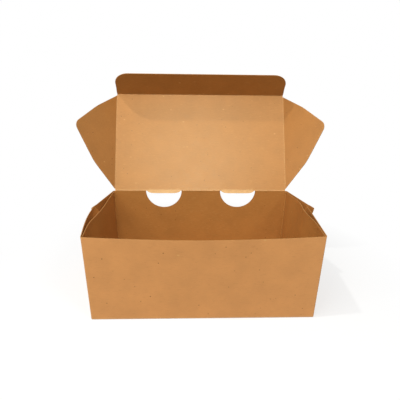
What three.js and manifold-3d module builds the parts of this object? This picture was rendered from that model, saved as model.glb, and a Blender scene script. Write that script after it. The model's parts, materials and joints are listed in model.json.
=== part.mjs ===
// Kraft paperboard box: a tray folded and glued from one sheet, a lid on the
// back crease with two side ears and a front tuck flap, and two half-round
// vents under the crease. Millimetres, +Z up. The origin is the middle of the
// underside, +X to the right and +Y to the back. The lid stands open.

import * as THREE from 'three';
import { mergeVertices } from 'three/addons/utils/BufferGeometryUtils.js';
import Module from 'manifold-3d';

// Driving dimensions

const board = 0.45;            // thickness of the board
const innerWidth = 160;        // between the inner side panels
const depth = 93.4;            // front face to back face
const height = 66.5;           // underside to the lid's crease
const gluePress = 0.1;         // how far glued layers press into each other
const panelGap = 0.3;          // free edge of a side panel to the wall beside it
const cornerRadius = 1.2;      // outside of the tray's upright folds
const frontRimDrop = 0.3;      // front rim below the lid's crease
const sideRimDrop = 1;         // side panels' rims below the lid's crease
const frontBow = 4.8;          // how far the front rim swells outwards
const footChamfer = 1.4;       // rise of the bottom crease at each front corner

const frontFlapLength = 55.5;  // glue flaps that turn round from the front wall
const backFlapLength = 42.8;   // glue flaps that turn round from the back wall
const lapRamp = 3;             // run over which a back flap steps over a front one
const flapSpring = {           // rise of a loose flap per mm from its fold, and how
  left: {                      // much of it is bent back at its end
    front: { rise: 0.2, bend: 0.46 },
    back: { rise: 0.167, bend: 0 },
  },
  right: {
    front: { rise: 0.112, bend: 0.1 },
    back: { rise: 0.225, bend: 0 },
  },
};
const panelBows = {            // waves of the side panels' rims, from front to back
  left: [
    { middle: -0.55, spread: 0.34, out: 2 },
    { middle: 0.2, spread: 0.25, out: -0.35 },
  ],
  right: [
    { middle: -0.5, spread: 0.4, out: 1.3 },
    { middle: 0.42, spread: 0.36, out: 2.3 },
  ],
};

const ventSpacing = 68.6;      // between the middles of the two vents
const ventRadius = 16.4;       // half-round vent, centred on the crease
const lipHalfWidth = 15.7;     // tongue of the lid that hangs in each vent
const lipDrop = 2.5;
const lipSquareness = 4;       // power of the tongue's outline: 2 round, more squarer

const lidLean = 25.5;          // degrees, open lid behind the vertical
const beadRadius = 0.325;      // rounded fold line
const creaseGap = 0.3;         // fold line to the edge that it meets
const sideSetIn = 0.7;         // ears' fold lines inside the side panels
const frontSetIn = 0.5;        // tuck flap's fold line inside the front wall

const tuckFold = 70;           // degrees from the lid's plane
const tuckLength = 25.4;
const tuckTaper = 1;           // each side, at the start of its round corner
const tuckCorner = 12.6;
const earFold = 45;            // degrees from the lid's plane
const earCornerCut = 0.9;      // ear's fold line shorter than the lid, at the tuck
const earFoot = 1.5;           // start of the ear above the lid's crease
const earKnee = { along: 24, out: 21.4, radius: 40 };
const earTip = { along: 54, out: 40.6, radius: 6.5 };
const earShoulder = { along: 75, out: 19.8, radius: 60 };

const kraftInside = 0xe1ac70;
const kraftOutside = 0xc38c55;

// Derived sizes

const panelFace = innerWidth / 2 + board;
const halfWidth = panelFace + board - gluePress;
const halfDepth = depth / 2;
const creaseY = halfDepth - board / 2;
const earAxis = innerWidth / 2 - sideSetIn;
const foldClear = beadRadius + creaseGap;
const lidLength = creaseY - (-halfDepth + board) - frontSetIn - beadRadius;
const frontTop = height - frontRimDrop;
const backTop = height - foldClear;
const panelTop = height - sideRimDrop;
const degrees = THREE.MathUtils.degToRad;

const wasm = await Module();
wasm.setup();

// Solid helpers

function signedVolume(geometry) {
  const point = geometry.getAttribute('position');
  const index = geometry.getIndex();
  const [a, b, c] = [new THREE.Vector3(), new THREE.Vector3(), new THREE.Vector3()];
  let volume = 0;
  for (let i = 0; i < index.count; i += 3) {
    a.fromBufferAttribute(point, index.getX(i));
    b.fromBufferAttribute(point, index.getX(i + 1));
    c.fromBufferAttribute(point, index.getX(i + 2));
    volume += a.dot(b.cross(c)) / 6;
  }
  return volume;
}

function toSolid(source) {
  let geometry = source.clone();
  geometry.deleteAttribute('normal');
  geometry.deleteAttribute('uv');
  geometry = mergeVertices(geometry, 1e-4);
  const triangles = Uint32Array.from(geometry.getIndex().array);
  if (signedVolume(geometry) < 0) {
    triangles.reverse();
  }
  return new wasm.Manifold(new wasm.Mesh({
    numProp: 3,
    vertProperties: Float32Array.from(geometry.getAttribute('position').array),
    triVerts: triangles,
  }));
}

function toGeometry(solid) {
  const mesh = solid.getMesh();
  const geometry = new THREE.BufferGeometry();
  geometry.setAttribute('position', new THREE.BufferAttribute(mesh.vertProperties, 3));
  geometry.setIndex(new THREE.BufferAttribute(mesh.triVerts, 1));
  geometry.computeVertexNormals();
  return geometry;
}

function join(geometries) {
  return geometries.map(toSolid).reduce((whole, piece) => whole.add(piece));
}

// Closed sheet between two grids of points, each grid[column][row]
function sheet(outer, inner) {
  const columns = outer.length;
  const rows = outer[0].length;
  const positions = [];
  for (const grid of [outer, inner]) {
    for (const column of grid) {
      for (const point of column) {
        positions.push(...point);
      }
    }
  }
  const out = (c, r) => c * rows + r;
  const back = (c, r) => columns * rows + c * rows + r;
  const indices = [];
  const quad = (a, b, c, d) => indices.push(a, b, c, a, c, d);
  for (let c = 0; c < columns - 1; c += 1) {
    for (let r = 0; r < rows - 1; r += 1) {
      quad(out(c, r), out(c + 1, r), out(c + 1, r + 1), out(c, r + 1));
      quad(back(c, r), back(c, r + 1), back(c + 1, r + 1), back(c + 1, r));
    }
    quad(back(c, 0), back(c + 1, 0), out(c + 1, 0), out(c, 0));
    quad(out(c, rows - 1), out(c + 1, rows - 1), back(c + 1, rows - 1), back(c, rows - 1));
  }
  for (let r = 0; r < rows - 1; r += 1) {
    const last = columns - 1;
    quad(back(0, r), out(0, r), out(0, r + 1), back(0, r + 1));
    quad(out(last, r), back(last, r), back(last, r + 1), out(last, r + 1));
  }
  const geometry = new THREE.BufferGeometry();
  geometry.setAttribute('position', new THREE.Float32BufferAttribute(positions, 3));
  geometry.setIndex(indices);
  return geometry;
}

function steps(from, to, count) {
  return Array.from({ length: count + 1 }, (_, i) => from + ((to - from) * i) / count);
}

// Outline with rounded corners, from corner points with an optional radius
function roundedShape(corners) {
  const shape = new THREE.Shape();
  const count = corners.length;
  corners.forEach((corner, i) => {
    const here = new THREE.Vector2(corner.x, corner.y);
    if (!corner.radius) {
      shape[i === 0 ? 'moveTo' : 'lineTo'](here.x, here.y);
      return;
    }
    const before = corners[(i + count - 1) % count];
    const after = corners[(i + 1) % count];
    const toBefore = new THREE.Vector2(before.x, before.y).sub(here);
    const toAfter = new THREE.Vector2(after.x, after.y).sub(here);
    const half = Math.abs(toBefore.angleTo(toAfter)) / 2;
    const limit = 0.48 * Math.min(toBefore.length(), toAfter.length());
    const cut = Math.min(corner.radius / Math.tan(half), limit);
    const start = here.clone().addScaledVector(toBefore.normalize(), cut);
    const end = here.clone().addScaledVector(toAfter.normalize(), cut);
    shape.lineTo(start.x, start.y);
    const turn = Math.PI - 2 * half;
    const radius = cut * Math.tan(half);
    const inward = toBefore.clone().add(toAfter).normalize();
    const centre = here.clone().addScaledVector(inward, radius / Math.sin(half));
    const from = start.clone().sub(centre);
    const side = Math.sign(from.cross(end.clone().sub(centre)));
    for (const angle of steps(0, turn, Math.max(2, Math.round(turn / 0.2))).slice(1)) {
      const spoke = from.clone().rotateAround(new THREE.Vector2(), side * angle);
      shape.lineTo(centre.x + spoke.x, centre.y + spoke.y);
    }
  });
  return shape;
}

function flatBoard(shape) {
  const geometry = new THREE.ExtrudeGeometry(shape, { depth: board, bevelEnabled: false });
  return geometry.translate(0, 0, -board / 2);
}

function bead(length) {
  return new THREE.CylinderGeometry(beadRadius, beadRadius, length, 12);
}

// Tray

// A flap is glued below the diagonal crease that starts at the bottom corner,
// and springs off above it
function looseShare(along, z, top) {
  return z <= along ? 0 : THREE.MathUtils.smoothstep((z - along) / (top - along), 0, 1);
}

function standOff(spring, along, flapLength, z, top) {
  const rim = spring.rise * along * (1 - spring.bend * (along / flapLength) ** 2);
  return rim * looseShare(along, z, top);
}

// A wall with a flap turned round each end, as a belt that follows the tray.
// facing is -1 for the front and 1 for the back
function wallBelt(facing, wallTop, flapLength, springs, bow, joggle) {
  const runs = [];
  const straight = halfWidth - cornerRadius;
  for (const side of [-1, 1]) {
    const flap = steps(flapLength, cornerRadius, 11).map((along) => ({ kind: 'flap', side, along }));
    const arc = steps(0, 1, 4).slice(1, -1).map((turn) => ({ kind: 'corner', side, turn }));
    const run = [...flap, ...arc];
    runs.push(side < 0 ? run : run.reverse());
  }
  const wall = steps(-straight, straight, 14).map((x) => ({ kind: 'wall', x }));
  const stations = [...runs[0], ...wall, ...runs[1]];
  const levels = steps(0, wallTop, 9);

  const outerPoint = (station, z) => {
    if (station.kind === 'wall') {
      const share = station.x / straight;
      const swell = bow * (1 - share ** 2) * (z / wallTop) ** 1.5;
      return [station.x, facing * (halfDepth + swell)];
    }
    if (station.kind === 'corner') {
      const angle = (station.turn * Math.PI) / 2;
      const x = straight + cornerRadius * Math.cos(angle);
      const y = halfDepth - cornerRadius + cornerRadius * Math.sin(angle);
      return [station.side * x, facing * y];
    }
    const spring = station.side < 0 ? springs.left : springs.right;
    const free = station.along - cornerRadius;
    const step = joggle(station.along);
    const x = halfWidth + step + standOff(spring, free, flapLength, z, wallTop);
    return [station.side * x, facing * (halfDepth - station.along)];
  };

  const foot = (station, z) => {
    const near = station.kind === 'wall' ? (straight - Math.abs(station.x)) / (6 * footChamfer) : 0;
    const rise = facing < 0 ? footChamfer * Math.max(0, 1 - near) : 0;
    const fade = station.kind === 'flap' ? Math.max(0, 1 - station.along / (6 * footChamfer)) : 1;
    return z + rise * fade * Math.max(0, 1 - z / (0.2 * wallTop));
  };

  const outer = [];
  const inner = [];
  stations.forEach((station, i) => {
    const before = stations[Math.max(i - 1, 0)];
    const after = stations[Math.min(i + 1, stations.length - 1)];
    const outerColumn = [];
    const innerColumn = [];
    for (const z of levels) {
      const [x, y] = outerPoint(station, z);
      const [x0, y0] = outerPoint(before, z);
      const [x1, y1] = outerPoint(after, z);
      const run = Math.hypot(x1 - x0, y1 - y0);
      const inwards = [(facing * (y1 - y0)) / run, (-facing * (x1 - x0)) / run];
      const level = foot(station, z);
      outerColumn.push([x, y, level]);
      innerColumn.push([x + inwards[0] * board, y + inwards[1] * board, level]);
    }
    outer.push(outerColumn);
    inner.push(innerColumn);
  });
  return sheet(outer, inner);
}

function sidePanel(side, bows) {
  const reach = halfDepth - board - panelGap;
  const outer = [];
  const inner = [];
  for (const y of steps(-reach, reach, 16)) {
    const share = y / reach;
    const glued = halfDepth - Math.abs(y);
    const rim = bows.reduce((sum, bow) =>
      sum + bow.out * Math.exp(-(((share - bow.middle) / bow.spread) ** 2)), 0) * (1 - share ** 4);
    const outerColumn = [];
    const innerColumn = [];
    for (const z of steps(0, panelTop, 8)) {
      const x = innerWidth / 2 + rim * looseShare(glued, z, height);
      outerColumn.push([side * (x + board), y, z]);
      innerColumn.push([side * x, y, z]);
    }
    outer.push(outerColumn);
    inner.push(innerColumn);
  }
  return sheet(outer, inner);
}

function makeTray() {
  const frontEnd = depth - frontFlapLength;
  const overFrontFlap = (along) => {
    const lap = (along - frontEnd) / lapRamp + 1;
    return (board - gluePress) * THREE.MathUtils.smoothstep(lap, 0, 1);
  };
  const front = wallBelt(-1, frontTop, frontFlapLength,
    { left: flapSpring.left.front, right: flapSpring.right.front }, frontBow, () => 0);
  const back = wallBelt(1, backTop, backFlapLength,
    { left: flapSpring.left.back, right: flapSpring.right.back }, 0, overFrontFlap);
  const floor = new THREE.BoxGeometry(2 * (halfWidth - gluePress), depth - 2 * gluePress, board);
  floor.translate(0, 0, board / 2);
  const vent = new THREE.CylinderGeometry(ventRadius, ventRadius, 8 * board, 40);
  vent.translate(0, creaseY, 0);
  const vents = [-1, 1].map((side) => vent.clone().translate((side * ventSpacing) / 2, 0, height));
  const backWall = vents.map(toSolid).reduce((wall, hole) => wall.subtract(hole), toSolid(back));
  return join([
    front,
    floor,
    sidePanel(-1, panelBows.left),
    sidePanel(1, panelBows.right),
  ]).add(backWall);
}

// Lid, drawn in its own plane: x across, y up from the crease

function makeLid() {
  const halfLid = earAxis - foldClear;
  const outline = [
    { x: halfLid, y: 0 },
    { x: halfLid, y: lidLength - foldClear },
    { x: -halfLid, y: lidLength - foldClear },
    { x: -halfLid, y: 0 },
  ];
  const fold = bead(2 * halfLid).rotateZ(Math.PI / 2);
  const lips = [-1, 1].map((side) => {
    const lip = new THREE.Shape();
    const middle = (side * ventSpacing) / 2;
    lip.moveTo(middle - lipHalfWidth, board);
    for (const turn of steps(-Math.PI / 2, Math.PI / 2, 16)) {
      const share = Math.sin(turn);
      lip.lineTo(middle + lipHalfWidth * share, -lipDrop * (1 - Math.abs(share) ** lipSquareness));
    }
    lip.lineTo(middle + lipHalfWidth, board);
    return flatBoard(lip);
  });
  return join([flatBoard(roundedShape(outline)), fold, ...lips]);
}

// Tuck flap: y runs away from its fold

function makeTuck() {
  const halfFold = earAxis - foldClear;
  const halfTop = halfFold - tuckTaper;
  const outline = roundedShape([
    { x: halfFold, y: 0 },
    { x: halfTop, y: tuckLength, radius: tuckCorner },
    { x: -halfTop, y: tuckLength, radius: tuckCorner },
    { x: -halfFold, y: 0 },
  ]);
  return join([flatBoard(outline), bead(2 * halfFold).rotateZ(Math.PI / 2)]);
}

// Ear: x runs away from its fold, y along the fold from the lid's crease

function makeEar(side) {
  const end = lidLength - foldClear - earCornerCut;
  const corners = [
    { x: 0, y: earFoot },
    { x: side * earKnee.out, y: earKnee.along, radius: earKnee.radius },
    { x: side * earTip.out, y: earTip.along, radius: earTip.radius },
    { x: side * earShoulder.out, y: earShoulder.along, radius: earShoulder.radius },
    { x: 0, y: end },
  ];
  const fold = bead(end - earFoot).translate(0, (end + earFoot) / 2, 0);
  return join([flatBoard(roundedShape(corners)), fold]);
}

// Scene graph

function piece(name, solid, color) {
  const material = new THREE.MeshStandardMaterial({ color, roughness: 0.9, metalness: 0 });
  const mesh = new THREE.Mesh(toGeometry(solid), material);
  mesh.name = name;
  return mesh;
}

const box = new THREE.Group();
box.add(piece('tray', makeTray(), kraftOutside));

const lidFrame = new THREE.Group();
lidFrame.position.set(0, creaseY, height);
lidFrame.rotation.x = degrees(90 - lidLean);
lidFrame.add(piece('lid', makeLid(), kraftInside));
box.add(lidFrame);

const tuck = piece('tuck_flap', makeTuck(), kraftInside);
tuck.position.y = lidLength;
tuck.rotation.x = degrees(tuckFold);
lidFrame.add(tuck);

for (const [name, side] of [['ear_left', -1], ['ear_right', 1]]) {
  const ear = piece(name, makeEar(side), kraftInside);
  ear.position.x = side * earAxis;
  ear.rotation.y = -side * degrees(earFold);
  lidFrame.add(ear);
}

export default box;
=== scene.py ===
# Kraft paperboard box with an open lid. The board of each panel is laid out as
# a fine sheet that follows the folded blank: walls turned up from the floor over
# rounded creases, glue flaps that spring off the side panels, cut vents, and a
# lid with ears and a tuck flap on rolled folds. Metres, +Z up.

import json
import math

import bmesh
import bpy
from mathutils import Matrix, Vector


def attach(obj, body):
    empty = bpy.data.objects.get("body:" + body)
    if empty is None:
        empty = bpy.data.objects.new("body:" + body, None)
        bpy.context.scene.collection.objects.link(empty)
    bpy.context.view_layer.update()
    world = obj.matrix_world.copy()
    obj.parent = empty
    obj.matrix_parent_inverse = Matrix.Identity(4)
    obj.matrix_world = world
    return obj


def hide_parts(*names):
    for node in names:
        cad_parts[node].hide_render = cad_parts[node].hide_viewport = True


bl_info = {
    "name": "Kraft Paperboard Box",
    "version": (1, 0, 0),
    "blender": (4, 5, 0),
    "location": "View3D > Sidebar > Kraft Box",
    "description": "Builds the folded board, its finish and the studio for a kraft box",
    "category": "Object",
}

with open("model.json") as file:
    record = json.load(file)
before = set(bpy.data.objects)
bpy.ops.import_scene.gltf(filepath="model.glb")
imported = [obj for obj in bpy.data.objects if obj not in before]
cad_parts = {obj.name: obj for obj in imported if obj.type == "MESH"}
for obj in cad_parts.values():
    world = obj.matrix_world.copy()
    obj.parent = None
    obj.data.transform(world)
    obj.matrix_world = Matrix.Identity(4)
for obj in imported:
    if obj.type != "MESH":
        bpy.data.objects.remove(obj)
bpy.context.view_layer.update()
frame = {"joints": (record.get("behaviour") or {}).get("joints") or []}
JOINTS = {joint["name"]: joint for joint in frame["joints"]}
CREASE_Y = JOINTS["lid_hinge"]["pos_m"][1]
CREASE_Z = JOINTS["lid_hinge"]["pos_m"][2]
TUCK_Y, TUCK_Z = JOINTS["tuck_hinge"]["pos_m"][1:]
EAR_AXIS_X = JOINTS["ear_right_hinge"]["pos_m"][0]
MM = 0.001

# Sheets: the grid closes up in a band along every fold and rim, where it wears
EDGE_STEPS = (0.3 * MM, 0.7 * MM, 1.3 * MM)
EDGE_BAND = 2.2 * MM
SHARP_ANGLE = math.radians(38)

# Wear of the board, from 0 for untouched to 1 for bare pulp
WEAR_REACH = 0.7 * MM
WEAR = {
    "roll": 0.9, "wall_crease": 0.55, "above_wall_crease": 0.35, "side_crease": 0.4,
    "above_side_crease": 0.2, "floor_edge": 0.3, "upright_fold": 0.08, "flap_fold": 0.05,
    "wall_rim": 0.1, "side_rim": 0.12, "lid_rim": 0.1, "loose_edge": 0.15,
}

# Rolled folds: steps along and round, and how uneven the roll is
ROLL_PITCH = 3.0 * MM
ROLL_SIDES = 10
ROLL_UNEVEN = 0.06
ROLL_BEAT = 1.7
ROLL_END = 0.1 * MM

# Tray
SIDE_SET_IN = 0.7 * MM         # the ears' fold lines stand inside the side panels
GLUE_GAP = 0.015 * MM          # between a side panel and the flap outside it
LAP_STEP = 1.05                # a back flap steps out by this many boards
FLAP_FOOT = 0.5 * MM           # lower edge of the glue flaps
WALL_WAVE = 0.22 * MM          # faint wave of the front and back walls
WALL_WAVE_RUN = 17 * MM
FRONT_SWELL_POWER = 1.5        # how late the front's swell sets in towards its rim
VENT_SIDES = 96
VENT_DIE_REACH = 4 * MM

# Lid and tuck flap
LID_PITCH = 1.6 * MM
LID_SAG = 0.5 * MM             # the open lid bows away from its inner face
LID_CREASE_REACH = 0.5 * MM    # wear along the lid's crease
LIP_SQUARENESS = 8             # power of a lip's outline
LIP_CORNER_STEPS = (0.15 * MM, 0.4 * MM, 0.8 * MM, 1.3 * MM)
TUCK_CURL = 0.5 * MM
TUCK_CORNER_STEPS = 22
TUCK_ROWS = 14
CORNER_SHARE = 0.48            # most of an edge that one rounded corner may take
CORNER_STEP = 0.1              # radians

# Ears: corners of the outline as along the fold, out from it, and radius
EAR_FOOT = 1.5 * MM            # start of the fold above the lid's crease
EAR_TOP_CLEAR = 0.625 * MM     # from the tuck flap's fold line to the lid's edge
EAR_CORNER_CUT = 0.9 * MM      # the fold stops short of that edge
EAR_KNEE = (24 * MM, 21.4 * MM, 40 * MM)
EAR_TIP = (54 * MM, 40.6 * MM, 6.5 * MM)
EAR_SHOULDER = (75 * MM, 19.8 * MM, 60 * MM)
EAR_REACH = 38 * MM            # out from the fold, where curl and twist are whole
EAR_CURL = 0.9 * MM
EAR_TWIST = 0.25 * MM
EAR_TWIST_RUN = 16 * MM
EAR_EDGE_SLANT = 0.72          # nearness of the slanted edge per width left
EAR_COLUMNS = 44
EAR_ROWS = 16


# Sizes and colours

def length(name, description, default):
    return bpy.props.FloatProperty(
        name=name, description=description, default=default, min=0.0,
        subtype="DISTANCE", unit="LENGTH", precision=5)


def colour(name, description, default):
    return bpy.props.StringProperty(name=name, description=description, default=default)


class KraftBoxSizes(bpy.types.PropertyGroup):
    """Sizes of the folded board"""
    board: length("Board", "Thickness of the paperboard", 0.45 * MM)
    pitch: length("Mesh pitch", "Spacing of the sheet's grid", 2.0 * MM)
    crease_round: length("Crease round", "Radius of a pressed fold at mid board", 0.8 * MM)
    fold_roll: length("Fold roll", "Radius of the roll on a moving fold", 0.325 * MM)
    fold_gap: length("Fold gap", "Clearance beside a moving fold", 0.025 * MM)
    front_bow: length("Front bow", "Swell of the front rim", 4.8 * MM)
    front_drop: length("Front rim drop", "Front rim below the crease", 0.3 * MM)
    panel_drop: length("Side rim drop", "Side rims below the crease", 1.0 * MM)
    front_flap: length("Front glue flap", "Length of the front glue flaps", 55.5 * MM)
    back_flap: length("Back glue flap", "Length of the back glue flaps", 42.8 * MM)
    lap_ramp: length("Lap ramp", "Run over which a back flap steps out", 3.0 * MM)
    vent_pitch: length("Vent pitch", "Between the middles of the vents", 68.6 * MM)
    vent_radius: length("Vent radius", "Radius of a half-round vent", 16.4 * MM)
    lip_half: length("Lip half width", "Half the width of a vent's lip", 15.7 * MM)
    lip_drop: length("Lip drop", "Drop of a vent's lip", 2.5 * MM)
    tuck_length: length("Tuck length", "Length of the tuck flap", 25.4 * MM)
    tuck_corner: length("Tuck corner", "Corner radius of the tuck flap", 12.6 * MM)
    tuck_taper: length("Tuck taper", "Narrowing of the tuck flap, each side", 1.0 * MM)
    tuck_fold: bpy.props.FloatProperty(
        name="Tuck fold", description="From the lid's plane", default=math.radians(70),
        subtype="ANGLE", unit="ROTATION")
    ear_fold: bpy.props.FloatProperty(
        name="Ear fold", description="From the lid's plane", default=math.radians(45),
        subtype="ANGLE", unit="ROTATION")


class KraftBoxColours(bpy.types.PropertyGroup):
    """Colours of the board and the studio, as sRGB hex"""
    # One board on both faces: the inside colour is a darker, more saturated copy of the outside's,
    # painted shade for the box's shaded inner faces, and the outside a lighter copy
    inside: colour("Inside", "Inner face, a darker copy of the board colour as painted shade", "#AE753A")
    outside: colour("Outside", "Outer face, a lighter copy of the board colour as painted light", "#CA8D53")
    cut: colour("Cut edge", "Bare pulp at a cut", "#A9763F")
    worn: colour("Worn fold", "Cracked fibres on a fold", "#E2B679")
    dark_fibre: colour("Dark fibre", "Bark and shive specks", "#6B3F1C")
    light_fibre: colour("Light fibre", "Bleached fibres", "#D4A564")
    floor: colour("Floor", "Studio floor as the camera sees it", "#F7F6F3")
    bounce: colour("Bounce", "Studio floor as it lights the box", "#94918C")


def sizes():
    return bpy.context.scene.kraft_box_sizes


def colours():
    return bpy.context.scene.kraft_box_colours


# Materials

def linear(hex_code):
    """sRGB hex to linear RGBA"""
    channels = [int(hex_code[i:i + 2], 16) / 255 for i in (1, 3, 5)]
    return (*[c / 12.92 if c <= 0.04045 else ((c + 0.055) / 1.055) ** 2.4
              for c in channels], 1.0)


def place(tree, kind, links=None, **settings):
    """One node with its settings, and its inputs linked or set"""
    made = tree.nodes.new(kind)
    for name, value in settings.items():
        setattr(made, name, value)
    for socket, value in (links or {}).items():
        if isinstance(value, bpy.types.NodeSocket):
            tree.links.new(value, made.inputs[socket])
        else:
            made.inputs[socket].default_value = value
    return made


def ramp(tree, value, start, stop, low=0.0, high=1.0):
    """Remaps start to stop onto low to high, held at both ends"""
    return place(tree, "ShaderNodeMapRange", {
        "Value": value, "From Min": start, "From Max": stop,
        "To Min": low, "To Max": high}).outputs["Result"]


def combine(tree, operation, first, second):
    """Two values through one maths node"""
    return place(tree, "ShaderNodeMath", {0: first, 1: second},
                 operation=operation).outputs["Value"]


def specks(tree, where, scale, rim, core, strength, channel, rare, sure):
    """Specks in the middle of those cells whose random channel passes rare"""
    cells = place(tree, "ShaderNodeTexVoronoi", {
        "Vector": where, "Scale": scale, "Randomness": 1.0})
    spot = ramp(tree, cells.outputs["Distance"], rim, core, high=strength)
    pick = place(tree, "ShaderNodeSeparateColor", {"Color": cells.outputs["Color"]})
    return combine(tree, "MULTIPLY", spot, ramp(tree, pick.outputs[channel], rare, sure))


def kraft_board(name, base, roughness, fibre_show):
    """Kraft board: unbleached softwood pulp, so long pale fibres lie along the
    grain, dark bark specks break it up and the shade drifts in soft clouds"""
    palette = colours()
    material = bpy.data.materials.new(name)
    material.use_nodes = True
    tree = material.node_tree
    tree.nodes.clear()
    where = place(tree, "ShaderNodeTexCoord").outputs["Object"]

    # Pulp formation clouds, 14 mm across
    clouds = place(tree, "ShaderNodeTexNoise", {
        "Vector": where, "Scale": 1 / 0.014, "Detail": 3.0, "Roughness": 0.55})
    shade_drift = ramp(tree, clouds.outputs["Fac"], 0.3, 0.7, 0.94, 1.05)
    # Fibres are about 0.03 mm wide and 3 mm long: drawn 0.7 mm wide so that they show
    along = place(tree, "ShaderNodeMapping", {
        "Vector": where, "Scale": (1 / 0.0035, 1 / 0.0007, 1 / 0.0007)})
    fibres = place(tree, "ShaderNodeTexNoise", {
        "Vector": along.outputs["Vector"], "Scale": 1.0, "Detail": 2.5,
        "Roughness": 0.6, "Distortion": 0.6}).outputs["Fac"]
    pale = ramp(tree, fibres, 0.56, 0.74, high=fibre_show)
    deep = ramp(tree, fibres, 0.43, 0.27, high=fibre_show * 0.8)
    # Bark specks, 0.6 to 1.2 mm across, in one cell of six
    bark = specks(tree, where, 1 / 0.0034, 0.17, 0.09, 0.75, "Red", 0.84, 0.97)
    # Pale flecks, up to 2.5 mm long, in three cells of ten
    stretched = place(tree, "ShaderNodeMapping", {
        "Vector": where, "Scale": (1 / 0.0075, 1 / 0.005, 1 / 0.005)})
    flecks = specks(tree, stretched.outputs["Vector"], 1.0, 0.17, 0.05, 0.6, "Green", 0.7, 0.95)
    # Folds and cuts lose their surface fibre by fibre
    wear = place(tree, "ShaderNodeAttribute", attribute_name="wear").outputs["Fac"]
    rubbed = combine(tree, "MULTIPLY", wear, ramp(tree, fibres, 0.35, 0.6, 0.25, 0.7))

    tone = place(tree, "ShaderNodeMix", {
        "Factor": 1.0, "A": linear(base), "B": shade_drift},
        data_type="RGBA", blend_type="MULTIPLY").outputs["Result"]
    for amount, over in (
            (deep, palette.dark_fibre), (pale, palette.light_fibre),
            (bark, palette.dark_fibre), (flecks, palette.light_fibre),
            (rubbed, palette.worn)):
        tone = place(tree, "ShaderNodeMix", {
            "Factor": amount, "A": tone, "B": linear(over)},
            data_type="RGBA").outputs["Result"]

    tooth = place(tree, "ShaderNodeTexNoise", {
        "Vector": where, "Scale": 1 / 0.0009, "Detail": 2.0}).outputs["Fac"]
    bump = place(tree, "ShaderNodeBump", {
        "Strength": 0.35, "Distance": 0.00006,
        "Height": combine(tree, "ADD", fibres, tooth)})
    # The pressed fibres shine warm at a low angle
    board = place(tree, "ShaderNodeBsdfPrincipled", {
        "Base Color": tone,
        "Roughness": ramp(tree, fibres, 0.3, 0.7, roughness - 0.06, roughness + 0.06),
        "Normal": bump.outputs["Normal"], "IOR": 1.5, "Specular IOR Level": 0.5,
        "Specular Tint": (1.0, 0.88, 0.58, 1.0)})
    place(tree, "ShaderNodeOutputMaterial", {"Surface": board.outputs["BSDF"]})
    return material


def finishes():
    """The board's faces: one board in two colours, a lighter copy outside and a darker copy inside
    as painted shade, and torn pulp at the cuts
    """
    palette = colours()
    made = {}
    # The inside colour is a darker copy of the outside's: painted shade for the shaded faces
    # inside the box
    for key, name, base, roughness, show in (
            ("outside", "Kraft board, outer face, painted light", palette.outside, 0.5, 0.16),
            ("inside", "Kraft board, inner face, painted shade", palette.inside, 0.38, 0.2),
            ("cut", "Kraft board, die-cut edge", palette.cut, 0.85, 0.3)):
        found = bpy.data.materials.get(name)
        made[key] = found or kraft_board(name, base, roughness, show)
    return made


# Sheets of board

def steps(low, high, count):
    return [low + (high - low) * i / count for i in range(count + 1)]


def stations(low, high, pitch, count=None):
    """Even steps with closer ones at both ends, where folds and rims wear"""
    inner = steps(low + EDGE_BAND, high - EDGE_BAND, count or max(4, round((high - low) / pitch)))
    return ([low] + [low + d for d in EDGE_STEPS] + inner
            + [high - d for d in reversed(EDGE_STEPS)] + [high])


def smooth(share):
    """Eases from 0 to 1"""
    share = min(max(share, 0.0), 1.0)
    return share * share * (3 - 2 * share)


def rub(distance, reach=WEAR_REACH):
    """Wear that fades with the distance from a fold or a cut"""
    return math.exp(-(distance / reach) ** 2)


class Blank:
    """Board under construction: grids of mid-board points, each with its wear"""

    def __init__(self):
        self.mesh = bmesh.new()
        self.wear = self.mesh.verts.layers.float.new("wear")

    def grid(self, columns, flip=False):
        rows = []
        for column in columns:
            line = []
            for entry in column:
                if entry is None:
                    line.append(None)
                    continue
                vertex = self.mesh.verts.new(entry[0])
                vertex[self.wear] = entry[1]
                line.append(vertex)
            rows.append(line)
        for left, right in zip(rows, rows[1:]):
            for i in range(len(left) - 1):
                corners = [left[i], right[i], right[i + 1], left[i + 1]]
                if None in corners:
                    continue
                self.mesh.faces.new(reversed(corners) if flip else corners)

    def roll(self, start, end, radius):
        """The rolled board of a moving fold, a little uneven along its length"""
        axis = (end - start).normalized()
        first = axis.orthogonal().normalized()
        second = axis.cross(first)
        count = max(6, round((end - start).length / ROLL_PITCH))
        rings = []
        for i in range(count + 1):
            swell = radius * (1 - ROLL_UNEVEN * math.sin(i * ROLL_BEAT) ** 2)
            middle = start.lerp(end, i / count)
            ring = []
            for k in range(ROLL_SIDES):
                turn = 2 * math.pi * k / ROLL_SIDES
                vertex = self.mesh.verts.new(
                    middle + (first * math.cos(turn) + second * math.sin(turn)) * swell)
                vertex[self.wear] = WEAR["roll"]
                ring.append(vertex)
            rings.append(ring)
        for ring, after in zip(rings, rings[1:]):
            for k in range(ROLL_SIDES):
                n = (k + 1) % ROLL_SIDES
                self.mesh.faces.new([ring[k], ring[n], after[n], after[k]])
        self.mesh.faces.new(list(reversed(rings[0])))
        self.mesh.faces.new(rings[-1])


def finish_board(name, blank, thickness, rolls=()):
    """Gives a blank its thickness, its finishes and a smooth shading"""
    bmesh.ops.remove_doubles(blank.mesh, verts=blank.mesh.verts, dist=1e-7)
    data = bpy.data.meshes.new(name)
    blank.mesh.to_mesh(data)
    blank.mesh.free()
    kraft = finishes()
    for key in ("outside", "inside", "cut"):
        data.materials.append(kraft[key])
    made = bpy.data.objects.new(name, data)
    bpy.context.scene.collection.objects.link(made)
    thick = made.modifiers.new("Board", "SOLIDIFY")
    thick.thickness = thickness
    thick.offset = 0
    thick.use_even_offset = True
    thick.thickness_clamp = 0
    thick.material_offset = 1
    thick.material_offset_rim = 2
    apply_modifiers(made)
    if rolls:
        add_rolls(made, rolls)
    shade(made)
    return made


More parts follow.
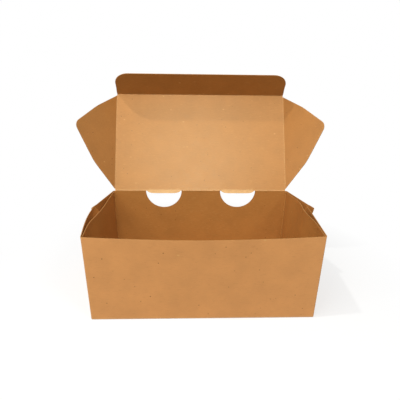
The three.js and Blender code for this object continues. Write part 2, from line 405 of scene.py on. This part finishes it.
def apply_modifiers(made):
    """Turns a piece's modifiers into plain mesh"""
    depsgraph = bpy.context.evaluated_depsgraph_get()
    evaluated = made.evaluated_get(depsgraph)
    data = bpy.data.meshes.new_from_object(
        evaluated, preserve_all_data_layers=True, depsgraph=depsgraph)
    old = made.data
    made.modifiers.clear()
    made.data = data
    data.name = made.name
    bpy.data.meshes.remove(old)


def add_rolls(made, rolls):
    """Adds the rolled folds to a board that already has its thickness"""
    extra = Blank()
    for start, end, radius in rolls:
        extra.roll(start, end, radius)
    mesh = bmesh.new()
    mesh.from_mesh(made.data)
    scrap = bpy.data.meshes.new("rolls")
    extra.mesh.to_mesh(scrap)
    extra.mesh.free()
    count = len(mesh.faces)
    mesh.from_mesh(scrap)
    mesh.faces.ensure_lookup_table()
    for face in mesh.faces[count:]:
        face.material_index = 1
    mesh.to_mesh(made.data)
    mesh.free()
    bpy.data.meshes.remove(scrap)


def shade(made):
    made.data.shade_smooth()
    made.data.set_sharp_from_angle(angle=SHARP_ANGLE)


# Tray

# Rise of a loose glue flap per length from its fold, and how much of it is
# bent back at its end, by side
FRONT_SPRING = {-1: (0.2, 0.46), 1: (0.112, 0.1)}
BACK_SPRING = {-1: (0.167, 0.0), 1: (0.225, 0.0)}
# Waves of the side panels' rims from front to back: middle, spread, height
PANEL_BOWS = {
    -1: ((-0.55, 0.34, 2.0 * MM), (0.2, 0.25, -0.35 * MM)),
    1: ((-0.5, 0.4, 1.8 * MM), (0.42, 0.36, 3.4 * MM)),
}


def loose_share(along, height, top):
    """A flap is glued below the diagonal crease that rises from the bottom
    corner, and springs off its side panel above it"""
    return 0.0 if height <= along else smooth((height - along) / (top - along))


def stand_off(spring, along, flap_length, height, top):
    """How far a loose glue flap has sprung off its side panel"""
    rise, bend = spring
    return rise * along * (1 - bend * (along / flap_length) ** 2) * loose_share(along, height, top)


def panel_wave(side, y, z):
    """How far a side panel's rim waves outwards; the flaps outside it follow"""
    share = y / CREASE_Y
    rim = sum(out * math.exp(-((share - middle) / spread) ** 2)
              for middle, spread, out in PANEL_BOWS[side])
    return (1 - share ** 4) * rim * loose_share(CREASE_Y - abs(y), z, CREASE_Z)


def foot_arc(face, base, radius):
    """Crease that turns a wall up from the floor: mid-board points as out, up"""
    return [(face - radius + radius * math.sin(angle), base + radius - radius * math.cos(angle))
            for angle in (i * math.pi / 6 for i in range(3))]


def tray_columns(facing, sheet, top, flap_length, springs, bow, joggle):
    """Mid-board columns of a wall, its upright folds and its two glue flaps"""
    half = sheet["half"]
    straight = sheet["straight"]
    corner = half - straight
    face_y = sheet["face_y"]
    levels = stations(sheet["floor_z"] + sheet["round"], top, sheet["pitch"])

    def wave(x, z):
        return WALL_WAVE * math.sin(x / WALL_WAVE_RUN + 1.1 * facing) * (z / top) ** 2

    def wall(x):
        share = x / straight
        column = [(Vector((x, facing * y, z)), WEAR["wall_crease"])
                  for y, z in foot_arc(face_y, sheet["floor_z"], sheet["round"])]
        for z in levels:
            swell = bow * (1 - share ** 2) * (z / top) ** FRONT_SWELL_POWER
            y = facing * (face_y + swell) + wave(x, z) * (1 - share ** 2)
            wear = max(rub(z - levels[0]) * WEAR["above_wall_crease"],
                       rub(top - z) * WEAR["wall_rim"])
            column.append((Vector((x, y, z)), wear))
        return column

    def turned(side, x, y, wear):
        foot = Vector((side * x(levels[0]), facing * y, FLAP_FOOT))
        column = [None, None, (foot, WEAR["side_crease"])]
        for z in levels:
            column.append((Vector((side * x(z), facing * y, z)),
                           max(wear, rub(top - z) * WEAR["side_rim"])))
        return column

    def flap(side):
        spring = springs[side]
        made = []
        for along in stations(corner, flap_length, sheet["pitch"]):
            free = along - corner
            step = joggle(along)

            def reach(z, along=along, free=free, step=step):
                sprung = stand_off(spring, free, flap_length, z, top)
                return half + step + max(sprung, panel_wave(side, facing * (face_y - along), z))
            wear = max(rub(flap_length - along) * WEAR["side_rim"], rub(free) * WEAR["flap_fold"])
            made.append(turned(side, reach, face_y - along, wear))
        return made

    def fold(side):
        made = []
        for turn in (1, 2, 3):
            angle = turn * math.pi / 8
            x = straight + corner * math.cos(angle)
            y = face_y - corner + corner * math.sin(angle)
            made.append(turned(side, lambda z, x=x: x, y, WEAR["upright_fold"]))
        return made

    return [*reversed(flap(-1)), *fold(-1), *(wall(x) for x in sheet["x"]),
            *reversed(fold(1)), *flap(1)]


def build_tray():
    size = sizes()
    board = size.board
    face_y = CREASE_Y
    panel_x = EAR_AXIS_X + SIDE_SET_IN + board / 2
    half = panel_x + board + GLUE_GAP
    straight = panel_x - size.crease_round
    sheet = {
        "half": half, "straight": straight, "face_y": face_y, "pitch": size.pitch,
        "round": size.crease_round, "floor_z": board / 2,
        "x": stations(-straight, straight, size.pitch),
    }
    floor_y = face_y - size.crease_round
    rows = stations(-floor_y, floor_y, size.pitch)
    front_top = CREASE_Z - size.front_drop
    back_top = CREASE_Z - size.fold_roll - size.fold_gap
    lap_start = 2 * (face_y + board / 2) - size.front_flap - size.lap_ramp

    def lap(along):
        return board * LAP_STEP * smooth((along - lap_start) / size.lap_ramp)

    blank = Blank()
    blank.grid(tray_columns(-1, sheet, front_top, size.front_flap, FRONT_SPRING,
                            size.front_bow, lambda along: 0.0))
    blank.grid(tray_columns(1, sheet, back_top, size.back_flap, BACK_SPRING, 0.0, lap),
               flip=True)
    blank.grid([[(Vector((x, y, board / 2)), WEAR["floor_edge"] * rub(floor_y - abs(y)))
                 for y in rows] for x in sheet["x"]], flip=True)

    panel_top = CREASE_Z - size.panel_drop
    levels = stations(board / 2 + size.crease_round, panel_top, size.pitch)
    for side in (-1, 1):
        columns = []
        for y in rows:
            column = [(Vector((side * x, y, z)), WEAR["side_crease"])
                      for x, z in foot_arc(panel_x, board / 2, size.crease_round)]
            for z in levels:
                x = panel_x + panel_wave(side, y, z)
                wear = max(rub(panel_top - z) * WEAR["side_rim"],
                           rub(z - levels[0]) * WEAR["above_side_crease"])
                column.append((Vector((side * x, y, z)), wear))
            columns.append(column)
        blank.grid(columns, flip=side < 0)

    tray = finish_board("tray_board", blank, board)
    cut_vents(tray, size)
    shade(tray)
    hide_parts("tray")
    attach(tray, "tray_body")


def cut_vents(tray, size):
    """Cuts the two half-round vents out of the back wall under the crease"""
    punch = bmesh.new()
    turns = [2 * math.pi * k / VENT_SIDES for k in range(VENT_SIDES)]
    for side in (-1, 1):
        middle = side * size.vent_pitch / 2
        rims = [[punch.verts.new((middle + size.vent_radius * math.cos(turn), y,
                                  CREASE_Z + size.vent_radius * math.sin(turn)))
                 for turn in turns]
                for y in (CREASE_Y - VENT_DIE_REACH, CREASE_Y + VENT_DIE_REACH)]
        punch.faces.new(rims[0])
        punch.faces.new(list(reversed(rims[1])))
        for k in range(VENT_SIDES):
            n = (k + 1) % VENT_SIDES
            punch.faces.new([rims[0][n], rims[0][k], rims[1][k], rims[1][n]])
    bmesh.ops.recalc_face_normals(punch, faces=punch.faces)
    data = bpy.data.meshes.new("vent_die")
    punch.to_mesh(data)
    punch.free()
    data.materials.append(finishes()["cut"])
    die = bpy.data.objects.new("vent_die", data)
    bpy.context.scene.collection.objects.link(die)
    cut = tray.modifiers.new("Vents", "BOOLEAN")
    cut.operation = "DIFFERENCE"
    cut.solver = "EXACT"
    cut.object = die
    cut.material_mode = "TRANSFER"
    apply_modifiers(tray)
    bpy.data.objects.remove(die)
    bpy.data.meshes.remove(data)


# Lid and its flaps

def lid_frame():
    """Origin, direction up the lid, inner normal and reach of the open lid"""
    along = Vector((0, TUCK_Y - CREASE_Y, TUCK_Z - CREASE_Z))
    reach = along.length
    up = along / reach
    normal = Vector((1, 0, 0)).cross(up)
    return Vector((0, CREASE_Y, CREASE_Z)), up, normal, reach


def build_lid():
    size = sizes()
    origin, up, normal, reach = lid_frame()
    clear = size.fold_roll + size.fold_gap
    half = EAR_AXIS_X - clear
    top = reach - clear
    middles = (-size.vent_pitch / 2, size.vent_pitch / 2)

    def lip(x):
        for middle in middles:
            off = abs(x - middle)
            if off < size.lip_half:
                return size.lip_drop * (1 - (off / size.lip_half) ** LIP_SQUARENESS)
        return 0.0

    edges = [m + s * size.lip_half for m in middles for s in (-1, 1)]
    corners = [m + s * (size.lip_half - off) for m in middles for s in (-1, 1)
               for off in LIP_CORNER_STEPS]
    across = sorted(set(stations(-half, half, LID_PITCH) + edges + corners))
    columns = []
    rows = round(top / size.pitch)
    for x in across:
        column = []
        sag = LID_SAG * (1 - (x / half) ** 2)
        for s in stations(-lip(x), top, size.pitch, rows):
            above = max(s, 0.0)
            bend = -sag * math.sin(math.pi * above / top)
            wear = max(rub(half - abs(x)) * WEAR["loose_edge"], rub(top - s) * WEAR["lid_rim"],
                       rub(above, LID_CREASE_REACH))
            column.append((origin + Vector((x, 0, 0)) + up * s + normal * bend, wear))
        columns.append(column)
    blank = Blank()
    blank.grid(columns)
    # The crease is rolled left of, between and right of the lips
    stops = [-half, *edges, half]
    rolls = [(origin + Vector((a + ROLL_END, 0, 0)), origin + Vector((b - ROLL_END, 0, 0)),
              size.fold_roll) for a, b in zip(stops[::2], stops[1::2])]
    lid = finish_board("lid_board", blank, size.board, rolls)
    swap_faces(lid)
    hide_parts("lid")
    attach(lid, "lid_body")


def swap_faces(made):
    """Puts the inner face, with its darker painted-shade colour, on the side that the grid's
    normals point to
    """
    for face in made.data.polygons:
        if face.material_index < 2:
            face.material_index = 1 - face.material_index


def build_tuck():
    size = sizes()
    origin, up, normal, reach = lid_frame()
    fold = origin + up * reach
    out = up * math.cos(size.tuck_fold) + normal * math.sin(size.tuck_fold)
    face = Vector((1, 0, 0)).cross(out)
    half = EAR_AXIS_X - size.fold_roll - size.fold_gap
    radius = size.tuck_corner
    inner = half - size.tuck_taper - radius
    straight = size.tuck_length - radius
    corner = [-half + (half - inner) * (1 - math.cos(t * math.pi / 2))
              for t in steps(0, 1, TUCK_CORNER_STEPS)]
    across = [*corner, *stations(-inner, inner, size.pitch)[1:-1],
              *(-x for x in reversed(corner))]
    columns = []
    for x in across:
        over = max(0.0, abs(x) - inner) / (half - inner)
        length_here = straight + radius * math.sqrt(max(0.0, 1 - over ** 2))
        column = []
        for w in stations(0.0, length_here, size.pitch, TUCK_ROWS):
            taper = 1 - size.tuck_taper / half * smooth(w / straight)
            curl = TUCK_CURL * (w / size.tuck_length) ** 2
            wear = max(rub(w), rub(length_here - w)) * WEAR["loose_edge"]
            column.append((fold + Vector((x * taper, 0, 0)) + out * w + face * curl, wear))
        columns.append(column)
    blank = Blank()
    blank.grid(columns)
    rolls = [(fold - Vector((half, 0, 0)), fold + Vector((half, 0, 0)), size.fold_roll)]
    tuck = finish_board("tuck_board", blank, size.board, rolls)
    swap_faces(tuck)
    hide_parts("tuck_flap")
    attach(tuck, "tuck_body")


def rounded_outline(corners):
    """Corner points (along, out, radius) with their corners rounded"""
    points = []
    for i, (along, out, radius) in enumerate(corners):
        here = Vector((along, out))
        if radius == 0:
            points.append(here)
            continue
        to_before = Vector(corners[i - 1][:2]) - here
        to_after = Vector(corners[i + 1][:2]) - here
        half = to_before.angle(to_after) / 2
        cut = min(radius / math.tan(half),
                  CORNER_SHARE * min(to_before.length, to_after.length))
        start = here + to_before.normalized() * cut
        real = cut * math.tan(half)
        inward = (to_before.normalized() + to_after.normalized()).normalized()
        centre = here + inward * (real / math.sin(half))
        turn = math.pi - 2 * half
        spoke = start - centre
        sign = 1 if spoke.cross(here + to_after.normalized() * cut - centre) > 0 else -1
        for angle in steps(0, turn, max(3, round(turn / CORNER_STEP))):
            points.append(centre + Matrix.Rotation(sign * angle, 2) @ spoke)
    return points


def build_ear(name, side):
    size = sizes()
    origin, up, normal, reach = lid_frame()
    end = reach - EAR_TOP_CLEAR - EAR_CORNER_CUT
    outline = rounded_outline([(EAR_FOOT, 0.0, 0), EAR_KNEE, EAR_TIP, EAR_SHOULDER, (end, 0.0, 0)])
    axis = origin + Vector((side * EAR_AXIS_X, 0, 0))
    out = Vector((side, 0, 0)) * math.cos(size.ear_fold) + normal * math.sin(size.ear_fold)
    face = out.cross(up) * side

    def width(s):
        for a, b in zip(outline, outline[1:]):
            if a.x <= s <= b.x and b.x > a.x:
                return a.y + (b.y - a.y) * (s - a.x) / (b.x - a.x)
        return 0.0

    marks = sorted({*(round(p.x, 7) for p in outline),
                    *steps(EAR_FOOT + 1 * MM, end - 1 * MM, EAR_COLUMNS)})
    shares = [0, 0.012, 0.03, *steps(0.06, 0.94, EAR_ROWS), 0.97, 0.988, 1.0]
    columns = []
    for s in marks:
        wide = max(width(s), 0.05 * MM)
        column = []
        for share in shares:
            w = wide * share
            out_share = w / EAR_REACH
            curl = EAR_CURL * out_share ** 2 - EAR_TWIST * math.sin(s / EAR_TWIST_RUN) * out_share
            wear = max(rub(w), rub((wide - w) * EAR_EDGE_SLANT)) * WEAR["loose_edge"]
            column.append((axis + up * s + out * w + face * curl, wear))
        columns.append(column)
    blank = Blank()
    blank.grid(columns, flip=side > 0)
    rolls = [(axis + up * EAR_FOOT, axis + up * end, size.fold_roll)]
    ear = finish_board(name + "_board", blank, size.board, rolls)
    swap_faces(ear)
    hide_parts(name)
    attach(ear, name + "_body")


# Studio

CAMERA_AT = Vector((-9.47, -228.59, 160.14)) * MM
FOCAL_PX = 312.6
CAMERA_PITCH, CAMERA_YAW, CAMERA_ROLL = (math.radians(a) for a in (20.53, 1.83, 0.68))
PHOTO_PX = 400
SENSOR_WIDTH = 36

LAMP_AIM = Vector((0, 0.03, 0.08))
LAMP_DISTANCE = 1.3
# Small lamp above: place, size and power
OVERHEAD_KEY = ("overhead_key", (-0.61, -0.13, 1.25), 0.05, 5.7)
# Softboxes round the box: azimuth, elevation, size and power
SOFTBOXES = (
    ("front_softbox", 0, 38, 0.5, 9.8),
    ("left_softbox", -45, 40, 0.5, 3.6),
    ("right_softbox", 45, 40, 0.3, 3.2),
    ("low_left_lamp", -67, 19, 0.16, 2.4),
)
WORLD_FILL = 0.2

FLOOR_REACH = 4.0
FLOOR_DROP = 0.02 * MM
# The floor's own shade fades into the white studio between these distances
FADE_START, FADE_END = 0.09, 0.2
FADE_GLOW = 0.55               # share of plain white already there at the box


def build_camera():
    """Camera at the photograph's place, from the fit to the box's corners"""
    pitch, yaw, roll = CAMERA_PITCH, CAMERA_YAW, CAMERA_ROLL
    ahead = Vector((math.sin(yaw) * math.cos(pitch), math.cos(yaw) * math.cos(pitch),
                    -math.sin(pitch)))
    level = Vector((math.cos(yaw), -math.sin(yaw), 0))
    above = level.cross(ahead)
    right = level * math.cos(roll) + above * math.sin(roll)
    up = above * math.cos(roll) - level * math.sin(roll)
    data = bpy.data.cameras.new("photo_camera")
    data.sensor_width = SENSOR_WIDTH
    data.lens = FOCAL_PX * SENSOR_WIDTH / PHOTO_PX
    data.clip_start = 0.01
    data.clip_end = 20
    camera = bpy.data.objects.new("photo_camera", data)
    turn = Matrix((right, up, -ahead)).transposed().to_4x4()
    camera.matrix_world = Matrix.Translation(CAMERA_AT) @ turn
    bpy.context.scene.collection.objects.link(camera)
    bpy.context.scene.camera = camera


def around_box(azimuth, elevation):
    """A lamp's place round the box: azimuth from the front to the right, in degrees"""
    turn, rise = math.radians(azimuth), math.radians(elevation)
    level = LAMP_DISTANCE * math.cos(rise)
    return (level * math.sin(turn), -level * math.cos(turn),
            LAMP_DISTANCE * math.sin(rise) + LAMP_AIM.z)


def soft_lamp(name, at, size, power):
    """A square area lamp that faces the box"""
    data = bpy.data.lights.new(name, "AREA")
    data.shape = "SQUARE"
    data.size = size
    data.energy = power
    lamp = bpy.data.objects.new(name, data)
    lamp.location = at
    lamp.rotation_euler = (LAMP_AIM - Vector(at)).to_track_quat("-Z", "Y").to_euler()
    bpy.context.scene.collection.objects.link(lamp)


def direct_view(tree):
    """1 for what the camera sees, itself or in a gloss or through glass"""
    rays = place(tree, "ShaderNodeLightPath")
    seen = combine(tree, "MAXIMUM", rays.outputs["Is Camera Ray"], rays.outputs["Is Glossy Ray"])
    return combine(tree, "MAXIMUM", seen, rays.outputs["Is Transmission Ray"])


def build_world():
    """White where it is seen, and a weak even fill where it lights"""
    world = bpy.data.worlds.new("studio_air")
    world.use_nodes = True
    tree = world.node_tree
    tree.nodes.clear()
    fill, white = (place(tree, "ShaderNodeBackground", {
        "Color": (1, 1, 1, 1), "Strength": strength}) for strength in (WORLD_FILL, 1.0))
    mix = place(tree, "ShaderNodeMixShader", {
        0: direct_view(tree), 1: fill.outputs["Background"], 2: white.outputs["Background"]})
    place(tree, "ShaderNodeOutputWorld", {"Surface": mix.outputs["Shader"]})
    bpy.context.scene.world = world


def build_floor():
    """Plain pale floor that keeps the box's shadow"""
    data = bpy.data.meshes.new("studio_floor")
    corners = [(x * FLOOR_REACH, y * FLOOR_REACH, 0)
               for x, y in ((-1, -1), (1, -1), (1, 1), (-1, 1))]
    data.from_pydata(corners, [], [(0, 1, 2, 3)])
    floor = bpy.data.objects.new("studio_floor", data)
    floor.location.z = -FLOOR_DROP
    bpy.context.scene.collection.objects.link(floor)
    material = bpy.data.materials.new("Studio paper, matt")
    material.use_nodes = True
    tree = material.node_tree
    tree.nodes.clear()
    seen = direct_view(tree)
    tone = place(tree, "ShaderNodeMix", {
        "Factor": seen, "A": linear(colours().bounce), "B": linear(colours().floor)},
        data_type="RGBA")
    paper = place(tree, "ShaderNodeBsdfDiffuse", {"Color": tone.outputs["Result"]})
    glow = place(tree, "ShaderNodeEmission", {"Color": (1, 1, 1, 1), "Strength": 1.0})
    spot = place(tree, "ShaderNodeVectorMath", {
        0: place(tree, "ShaderNodeTexCoord").outputs["Object"]}, operation="LENGTH")
    fade = ramp(tree, spot.outputs["Value"], FADE_START, FADE_END, FADE_GLOW, 1.0)
    mix = place(tree, "ShaderNodeMixShader", {
        0: combine(tree, "MULTIPLY", seen, fade), 1: paper.outputs["BSDF"],
        2: glow.outputs["Emission"]})
    place(tree, "ShaderNodeOutputMaterial", {"Surface": mix.outputs["Shader"]})
    data.materials.append(material)


# Operators

class KRAFTBOX_OT_tray(bpy.types.Operator):
    """Folds the tray from its blank and cuts the vents"""
    bl_idname = "kraft_box.tray"
    bl_label = "Fold Tray"

    def execute(self, context):
        build_tray()
        return {"FINISHED"}


class KRAFTBOX_OT_lid(bpy.types.Operator):
    """Lays out the lid panel with its two vent lips"""
    bl_idname = "kraft_box.lid"
    bl_label = "Fold Lid"

    def execute(self, context):
        build_lid()
        return {"FINISHED"}


class KRAFTBOX_OT_flaps(bpy.types.Operator):
    """Folds the tuck flap and both ears out of the lid"""
    bl_idname = "kraft_box.flaps"
    bl_label = "Fold Flaps"

    def execute(self, context):
        build_tuck()
        build_ear("ear_left", -1)
        build_ear("ear_right", 1)
        return {"FINISHED"}


class KRAFTBOX_OT_studio(bpy.types.Operator):
    """Sets up the camera, the soft light and the pale floor"""
    bl_idname = "kraft_box.studio"
    bl_label = "Set Up Studio"

    def execute(self, context):
        scene = context.scene
        scene.view_settings.view_transform = "Standard"
        build_camera()
        build_world()
        build_floor()
        soft_lamp(*OVERHEAD_KEY)
        for name, azimuth, elevation, size, power in SOFTBOXES:
            soft_lamp(name, around_box(azimuth, elevation), size, power)
        return {"FINISHED"}


class KRAFTBOX_PT_panel(bpy.types.Panel):
    """Steps of the box, in order"""
    bl_idname = "KRAFTBOX_PT_panel"
    bl_label = "Kraft Box"
    bl_space_type = "VIEW_3D"
    bl_region_type = "UI"
    bl_category = "Kraft Box"

    def draw(self, context):
        for step in STEPS:
            self.layout.operator(step.bl_idname)
        for group in (context.scene.kraft_box_sizes, context.scene.kraft_box_colours):
            column = self.layout.column(align=True)
            for name in group.bl_rna.properties.keys():
                if name not in ("rna_type", "name"):
                    column.prop(group, name)


STEPS = (KRAFTBOX_OT_tray, KRAFTBOX_OT_lid, KRAFTBOX_OT_flaps, KRAFTBOX_OT_studio)
CLASSES = (KraftBoxSizes, KraftBoxColours, *STEPS, KRAFTBOX_PT_panel)


def register():
    for item in CLASSES:
        bpy.utils.register_class(item)
    bpy.types.Scene.kraft_box_sizes = bpy.props.PointerProperty(type=KraftBoxSizes)
    bpy.types.Scene.kraft_box_colours = bpy.props.PointerProperty(type=KraftBoxColours)


def unregister():
    del bpy.types.Scene.kraft_box_colours
    del bpy.types.Scene.kraft_box_sizes
    for item in reversed(CLASSES):
        bpy.utils.unregister_class(item)


def main():
    register()
    bpy.ops.kraft_box.tray()
    bpy.ops.kraft_box.lid()
    bpy.ops.kraft_box.flaps()
    bpy.ops.kraft_box.studio()


if __name__ == "__main__":
    main()
